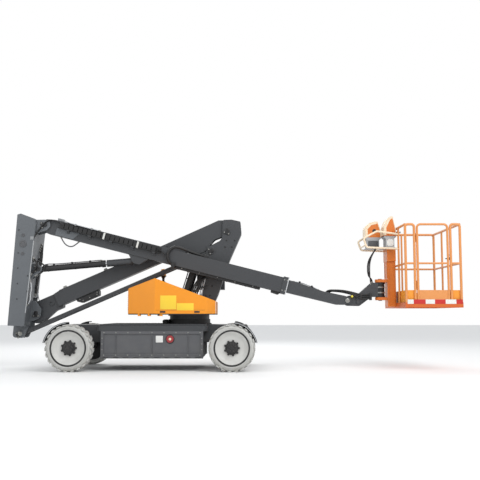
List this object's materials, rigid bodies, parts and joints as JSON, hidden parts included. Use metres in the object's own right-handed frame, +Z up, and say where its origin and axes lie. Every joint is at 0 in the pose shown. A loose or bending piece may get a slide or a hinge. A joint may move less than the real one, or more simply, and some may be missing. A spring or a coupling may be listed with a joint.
{
  "type": "articulating boom lift",
  "caption": "Self-propelled articulating boom lift in its travel pose: grey chassis and booms, orange cowls and an orange work platform.",
  "frame": {"origin": "on the ground, under the middle of the whole machine as it stands in the travel pose", "axes": "+X forward to the platform, along the machine; +Y to the left; +Z up"},
  "size_m": [5.7521, 1.63, 2.0164],
  "materials": {
    "frame_grey": "satin",
    "cowl_orange": "satin",
    "basket_orange": "satin",
    "tyre_grey": "matte",
    "rim_grey": "satin",
    "black_steel": "satin",
    "chrome_rod": "polished",
    "fly_silver": "satin",
    "hose_black": "matte",
    "amber_lamp": "gloss",
    "box_grey": "satin"
  },
  "bodies": {
    "root": {"chassis_frame": "frame_grey", "side_cover_left": "frame_grey", "side_cover_right": "frame_grey", "front_axle": "black_steel", "rear_axle": "black_steel", "rear_guard_left": "frame_grey", "rear_guard_right": "frame_grey", "slew_ring": "black_steel"},
    "turntable": {"turntable": "frame_grey", "tower": "frame_grey", "power_blocks": "black_steel", "counterweight": "frame_grey", "cowl_left": "cowl_orange", "cowl_right": "cowl_orange", "beacon": "amber_lamp", "valve_box": "frame_grey"},
    "lower_boom": {"lower_boom": "frame_grey", "boom_box": "black_steel"},
    "lower_barrel": {"lower_barrel": "black_steel"},
    "lower_rod": {"lower_rod": "chrome_rod"},
    "tie_rod": {"tie_rod_left": "frame_grey", "tie_rod_right": "frame_grey"},
    "post": {"post": "frame_grey"},
    "upper_boom": {"upper_tube": "frame_grey", "boom_pads": "hose_black", "hose_carrier": "hose_black", "boom_tray": "black_steel"},
    "upper_barrel": {"upper_barrel": "black_steel"},
    "upper_rod": {"upper_rod": "chrome_rod"},
    "fly": {"fly": "fly_silver"},
    "platform_bracket": {"platform_bracket": "frame_grey", "rotator": "black_steel"},
    "basket": {"basket_arms": "basket_orange", "basket_floor": "basket_orange", "toeboards": "basket_orange", "side_left": "basket_orange", "side_right": "basket_orange", "front_side": "basket_orange", "rear_side": "basket_orange", "console_guard": "basket_orange", "console_box": "box_grey", "console_hoods": "basket_orange"},
    "gate": {"gate": "basket_orange"},
    "knuckle_left": {"knuckle_left": "black_steel"},
    "knuckle_right": {"knuckle_right": "black_steel"},
    "wheel_front_left": {"tyre_front_left": "tyre_grey", "rim_front_left": "rim_grey"},
    "wheel_front_right": {"tyre_front_right": "tyre_grey", "rim_front_right": "rim_grey"},
    "wheel_rear_left": {"tyre_rear_left": "tyre_grey", "rim_rear_left": "rim_grey"},
    "wheel_rear_right": {"tyre_rear_right": "tyre_grey", "rim_rear_right": "rim_grey"}
  },
  "joints": [
    {"name": "slew", "type": "hinge", "parent": "root", "child": "turntable", "pos_m": [-0.53394, 0, 0.64], "axis": [0, 0, 1], "range_deg": [-177.5, 177.5]},
    {"name": "lower_boom_lift", "type": "hinge", "parent": "turntable", "child": "lower_boom", "pos_m": [-0.03194, 0.1, 1.825], "axis": [0, 1, 0], "range_deg": [0, 84]},
    {"name": "tie_rod_swing", "type": "hinge", "parent": "turntable", "child": "tie_rod", "pos_m": [-0.23694, 0.1, 1.553], "axis": [0, 1, 0], "range_deg": [0, 84.01]},
    {"name": "post_level", "type": "hinge", "parent": "lower_boom", "child": "post", "pos_m": [-2.57403, 0.1, 0.71967], "axis": [0, 1, 0], "range_deg": [-84.01, 0]},
    {"name": "lower_barrel_swing", "type": "hinge", "parent": "turntable", "child": "lower_barrel", "pos_m": [-0.65394, 0.1, 0.76], "axis": [0, 1, 0], "range_deg": [-4.65, 0]},
    {"name": "lower_rod_stroke", "type": "slide", "parent": "lower_barrel", "child": "lower_rod", "axis": [0.3031, 0, 0.953], "range_m": [0, 0.59569]},
    {"name": "upper_boom_lift", "type": "hinge", "parent": "post", "child": "upper_boom", "pos_m": [-2.42394, -0.17, 1.86997], "axis": [0, -1, 0], "range_deg": [0, 75]},
    {"name": "upper_barrel_swing", "type": "hinge", "parent": "post", "child": "upper_barrel", "pos_m": [-2.50393, -0.17, 1.29397], "axis": [0, -1, 0], "range_deg": [0, 57.66]},
    {"name": "upper_rod_stroke", "type": "slide", "parent": "upper_barrel", "child": "upper_rod", "axis": [0.9964, 0, 0.0852], "range_m": [0, 0.53554]},
    {"name": "fly_extend", "type": "slide", "parent": "upper_boom", "child": "fly", "axis": [0.9697, 0, -0.2445], "range_m": [0, 1.6]},
    {"name": "platform_level", "type": "hinge", "parent": "fly", "child": "platform_bracket", "pos_m": [1.5361, -0.17, 0.87996], "axis": [0, -1, 0], "range_deg": [-75.01, 0]},
    {"name": "platform_turn", "type": "hinge", "parent": "platform_bracket", "child": "basket", "pos_m": [1.9761, -0.17, 0.92495], "axis": [0, 0, 1], "range_deg": [-90, 90]},
    {"name": "gate_swing", "type": "hinge", "parent": "basket", "child": "gate", "pos_m": [2.3121, -0.774, 1.06], "axis": [0, 0, 1], "range_deg": [0, 90]},
    {"name": "steer_left", "type": "hinge", "parent": "root", "child": "knuckle_left", "pos_m": [0.03606, 0.6, 0.29], "axis": [0, 0, 1], "range_deg": [-30, 30]},
    {"name": "steer_right", "type": "hinge", "parent": "root", "child": "knuckle_right", "pos_m": [0.03606, -0.6, 0.29], "axis": [0, 0, 1], "range_deg": [-30.01, 30.01]},
    {"name": "wheel_front_left_spin", "type": "hinge", "parent": "knuckle_left", "child": "wheel_front_left", "pos_m": [0.03606, 0.72, 0.29], "axis": [0, 1, 0], "continuous": true},
    {"name": "wheel_front_right_spin", "type": "hinge", "parent": "knuckle_right", "child": "wheel_front_right", "pos_m": [0.03606, -0.72, 0.29], "axis": [0, 1, 0], "continuous": true},
    {"name": "wheel_rear_left_spin", "type": "hinge", "parent": "root", "child": "wheel_rear_left", "pos_m": [-1.96394, 0.72, 0.29], "axis": [0, 1, 0], "continuous": true},
    {"name": "wheel_rear_right_spin", "type": "hinge", "parent": "root", "child": "wheel_rear_right", "pos_m": [-1.96394, -0.72, 0.29], "axis": [0, 1, 0], "continuous": true}
  ],
  "couplings": [
    {"joint": "tie_rod_swing", "follows": "lower_boom_lift", "ratio": 1},
    {"joint": "post_level", "follows": "lower_boom_lift", "ratio": -1},
    {"joint": "lower_barrel_swing", "follows": "lower_boom_lift", "ratio": -0.055185},
    {"joint": "lower_rod_stroke", "follows": "lower_boom_lift", "m_per_rad": 0.40625},
    {"joint": "upper_barrel_swing", "follows": "upper_boom_lift", "ratio": 0.76864},
    {"joint": "upper_rod_stroke", "follows": "upper_boom_lift", "m_per_rad": 0.40905},
    {"joint": "platform_level", "follows": "upper_boom_lift", "ratio": -1},
    {"joint": "steer_right", "follows": "steer_left", "ratio": 1}
  ]
}
